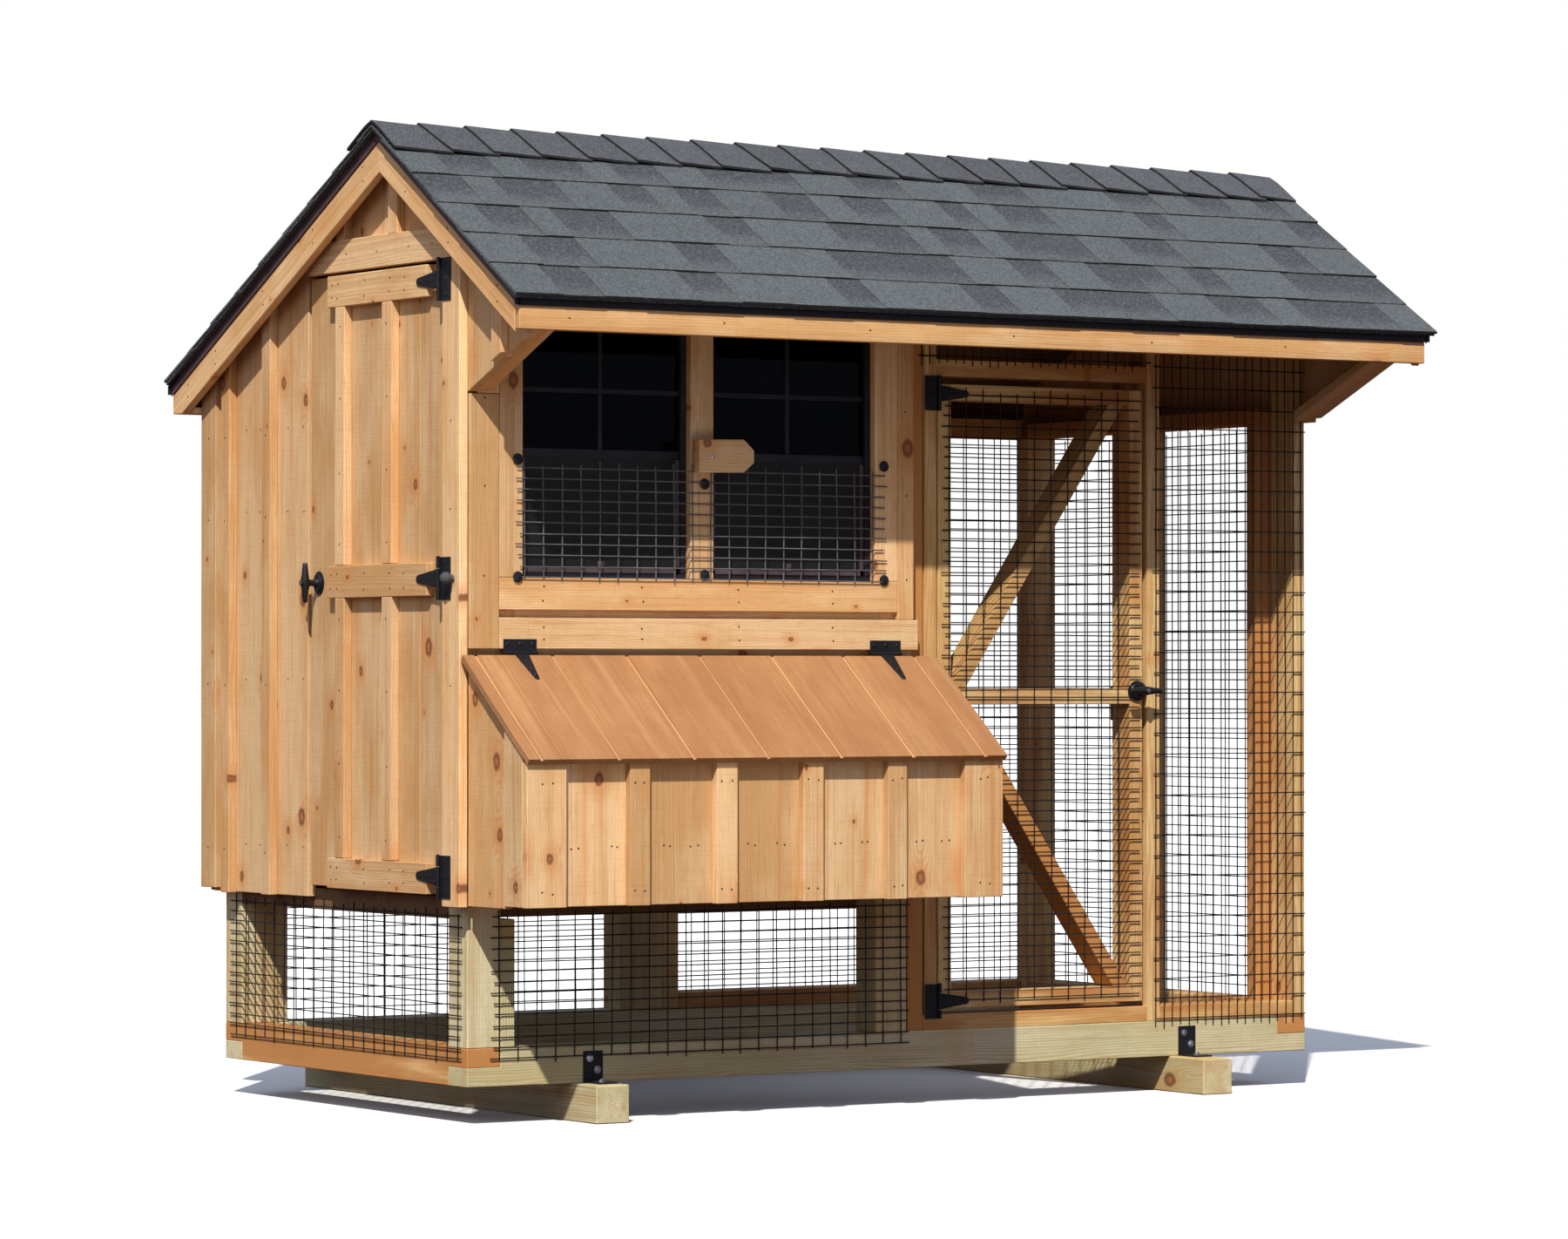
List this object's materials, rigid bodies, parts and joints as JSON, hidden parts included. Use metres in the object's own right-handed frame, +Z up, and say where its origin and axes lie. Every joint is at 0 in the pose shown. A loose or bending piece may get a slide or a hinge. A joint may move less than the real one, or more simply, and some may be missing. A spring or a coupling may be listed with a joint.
{
  "type": "chicken coop",
  "caption": "Timber chicken coop: raised board-and-batten henhouse with lidded nest box and sash windows, wire run with a braced door, and an off-centre shingled roof.",
  "frame": {"origin": "on the ground, in the middle of the roof's outline seen from above", "axes": "+X along the ridge from the henhouse to the run, -Y towards the front where the nest box and run door are, +Z up"},
  "size_m": [2.6448, 1.7576, 2.3393],
  "materials": {
    "pine": "clear-stained rough-sawn knotty pine boards",
    "treated_pine": "pressure-treated framing timber, yellow-green with orange streaks",
    "inner_wood": "plain sheet and softwood, unfinished",
    "grooved_panel": "stained grooved plywood siding",
    "shingle": "mineral-granule asphalt shingle",
    "black_steel": "satin black powder coat",
    "wire": "black vinyl-coated welded wire",
    "bronze_frame": "dark bronze coated window frame"
  },
  "bodies": {
    "coop": {"skid_left": "treated_pine", "skid_right": "treated_pine", "base_frame": "treated_pine", "skid_bracket_front_left": "black_steel", "skid_bracket_front_right": "black_steel", "skid_bracket_back_left": "black_steel", "skid_bracket_back_right": "black_steel", "post_front_left": "treated_pine", "post_back_left": "treated_pine", "post_front_middle": "treated_pine", "post_back_middle": "treated_pine", "post_front_right": "treated_pine", "post_back_right": "treated_pine", "floor": "inner_wood", "front_plate_and_door_frame": "treated_pine", "back_top_plate": "treated_pine", "run_end_frame": "treated_pine", "roof_deck": "inner_wood", "shingles": "shingle", "rake_boards_left": "pine", "rake_boards_right": "pine", "fascia_front": "pine", "fascia_back": "pine", "left_wall": "pine", "front_wall": "pine", "front_trim": "pine", "back_wall": "pine", "partition_wall": "pine", "right_gable": "pine", "overhang_brace_left": "pine", "overhang_brace_right": "pine", "window_left": "bronze_frame", "window_right": "bronze_frame", "wire_lower_front": "wire", "wire_lower_left": "wire", "wire_lower_back": "wire", "wire_run_back": "wire", "wire_run_end": "wire", "wire_run_front": "wire", "wire_over_door": "wire", "window_guard": "wire", "nest_box": "pine", "roost_bar": "inner_wood"},
    "end_door": {"end_door": "pine", "end_door_strap_top": "black_steel", "end_door_strap_middle": "black_steel", "end_door_strap_bottom": "black_steel"},
    "end_door_latch": {"end_door_handle": "black_steel"},
    "run_door": {"run_door": "treated_pine", "wire_run_door": "wire", "run_door_strap_top": "black_steel", "run_door_strap_bottom": "black_steel"},
    "run_door_latch": {"run_door_handle": "black_steel"},
    "nest_lid": {"nest_lid": "grooved_panel", "lid_strap_left": "black_steel", "lid_strap_right": "black_steel"},
    "turn_button": {"turn_button": "pine"},
    "left_sash": {"sash_left": "bronze_frame"},
    "right_sash": {"sash_right": "bronze_frame"},
    "ramp_door": {"ramp_door": "inner_wood"}
  },
  "joints": [
    {"name": "end_door_hinge", "type": "hinge", "parent": "coop", "child": "end_door", "pos_m": [-1.26924, -0.42799, 1.26238], "axis": [0, 0, 1], "range_deg": [0, 135]},
    {"name": "end_latch_turn", "type": "hinge", "parent": "end_door", "child": "end_door_latch", "pos_m": [-1.2413, 0.20574, 1.26111], "axis": [1, 0, 0], "range_deg": [0, 90]},
    {"name": "run_door_hinge", "type": "hinge", "parent": "coop", "child": "run_door", "pos_m": [0.09195, -0.48666, 0.98806], "axis": [0, 0, -1], "range_deg": [0, 90]},
    {"name": "run_latch_turn", "type": "hinge", "parent": "run_door", "child": "run_door_latch", "pos_m": [0.68961, -0.47752, 1.00076], "axis": [0, 1, 0], "range_deg": [-90, 0]},
    {"name": "nest_lid_hinge", "type": "hinge", "parent": "coop", "child": "nest_lid", "pos_m": [-0.6096, -0.52756, 1.09093], "axis": [-1, 0, 0], "range_deg": [0, 127]},
    {"name": "turn_button_pivot", "type": "hinge", "parent": "coop", "child": "turn_button", "pos_m": [-0.6096, -0.5588, 1.55321], "axis": [0, 1, 0], "continuous": true},
    {"name": "left_sash_slide", "type": "slide", "parent": "coop", "child": "left_sash", "axis": [0, 0, 1], "range_m": [-0.26, 0]},
    {"name": "right_sash_slide", "type": "slide", "parent": "coop", "child": "right_sash", "axis": [0, 0, 1], "range_m": [-0.26, 0]},
    {"name": "ramp_door_hinge", "type": "hinge", "parent": "coop", "child": "ramp_door", "pos_m": [0.0475, 0.38608, 0.4826], "axis": [0, 1, 0], "range_deg": [0, 130]}
  ]
}
